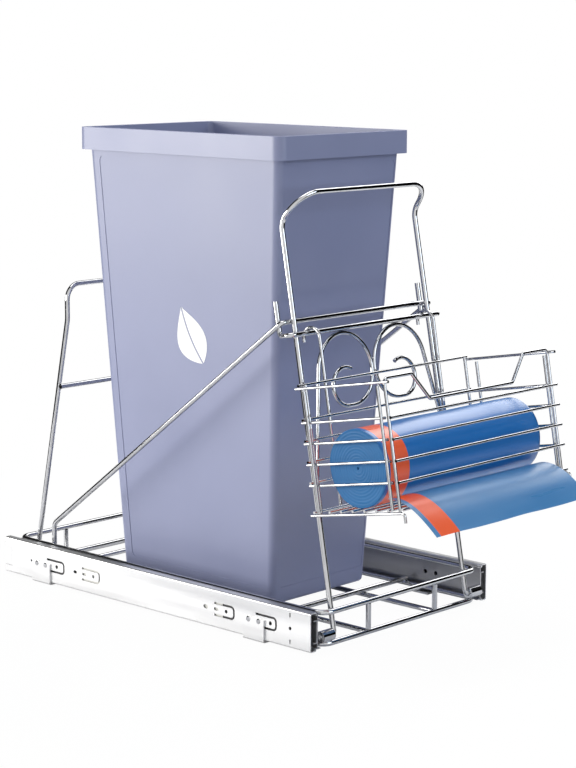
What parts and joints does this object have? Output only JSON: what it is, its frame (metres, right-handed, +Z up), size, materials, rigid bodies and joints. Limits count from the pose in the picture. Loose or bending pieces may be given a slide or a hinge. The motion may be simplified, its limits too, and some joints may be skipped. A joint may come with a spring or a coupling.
{
  "type": "pull out waste bin unit",
  "caption": "Wire carriage on ball-bearing rails for a base cabinet: lift-out tapered bin, leaning front frame with scrolls and a hanging basket for a roll of bin bags.",
  "frame": {"origin": "on the cabinet floor, under the middle of the closed unit's bounding box", "axes": "+X across to the right as seen from the front, +Y to the back of the cabinet, +Z up; the unit pulls out along -Y"},
  "size_m": [0.3362, 0.7194, 0.592],
  "materials": {
    "zinc_steel": "bright zinc-plated sheet steel",
    "chrome_wire": "bright chrome-plated steel wire",
    "cage_plastic": "natural matte plastic",
    "bin_plastic": "blue-grey satin moulded plastic",
    "roll": "blue film wound on a roll",
    "film": "thin blue plastic film"
  },
  "bodies": {
    "cabinet_rails": {"outer_rail_left": "zinc_steel", "outer_rail_right": "zinc_steel", "floor_bracket_front_left": "zinc_steel", "floor_bracket_front_right": "zinc_steel", "floor_bracket_rear_left": "zinc_steel", "floor_bracket_rear_right": "zinc_steel", "bracket_rivets": "zinc_steel"},
    "middle_rails": {"middle_rail_left": "zinc_steel", "middle_rail_right": "zinc_steel"},
    "outer_cages": {"outer_cage_left": "cage_plastic", "outer_cage_right": "cage_plastic"},
    "inner_cages": {"inner_cage_left": "cage_plastic", "inner_cage_right": "cage_plastic"},
    "carriage": {"inner_rail_left": "zinc_steel", "inner_rail_right": "zinc_steel", "side_plate_left": "zinc_steel", "side_plate_right": "zinc_steel", "base_loop_bottom": "chrome_wire", "base_loop_top": "chrome_wire", "front_struts": "chrome_wire", "rear_struts": "chrome_wire", "long_floor_wires": "chrome_wire", "cross_floor_wires": "chrome_wire", "pivot_tube_left": "chrome_wire", "pivot_tube_right": "chrome_wire", "front_frame": "chrome_wire", "hook_wire": "chrome_wire", "brace": "chrome_wire", "rear_guard": "chrome_wire", "guard_rod": "chrome_wire", "scroll_left": "chrome_wire", "scroll_right": "chrome_wire"},
    "bin": {"bin": "bin_plastic"},
    "basket": {"basket_side_left": "chrome_wire", "basket_side_right": "chrome_wire", "basket_floor_rail_left": "chrome_wire", "basket_floor_rail_right": "chrome_wire", "basket_back": "chrome_wire", "basket_front_hoop": "chrome_wire", "basket_front_rails": "chrome_wire", "basket_floor_wires": "chrome_wire", "hanging_hook_left": "chrome_wire", "hanging_hook_right": "chrome_wire", "bag_film": "film"},
    "bag_roll": {"bag_roll": "roll"}
  },
  "joints": [
    {"name": "slide_out", "type": "slide", "parent": "cabinet_rails", "child": "carriage", "axis": [0, -1, 0], "range_m": [0, 0.5]},
    {"name": "middle_slide", "type": "slide", "parent": "cabinet_rails", "child": "middle_rails", "axis": [0, -1, 0], "range_m": [0, 0.25]},
    {"name": "outer_cage_slide", "type": "slide", "parent": "cabinet_rails", "child": "outer_cages", "axis": [0, -1, 0], "range_m": [0, 0.125]},
    {"name": "inner_cage_slide", "type": "slide", "parent": "cabinet_rails", "child": "inner_cages", "axis": [0, -1, 0], "range_m": [0, 0.375]},
    {"name": "bin_lift", "type": "slide", "parent": "carriage", "child": "bin", "axis": [0, 0, 1], "range_m": [0, 0.35]},
    {"name": "basket_lift", "type": "slide", "parent": "carriage", "child": "basket", "axis": [0, 0, 1], "range_m": [0, 0.12]},
    {"name": "roll_turn", "type": "hinge", "parent": "basket", "child": "bag_roll", "pos_m": [0, -0.24615, 0.22605], "axis": [1, 0, 0], "continuous": true}
  ],
  "couplings": [
    {"joint": "middle_slide", "follows": "slide_out", "ratio": 0.5},
    {"joint": "outer_cage_slide", "follows": "slide_out", "ratio": 0.25},
    {"joint": "inner_cage_slide", "follows": "slide_out", "ratio": 0.75}
  ]
}
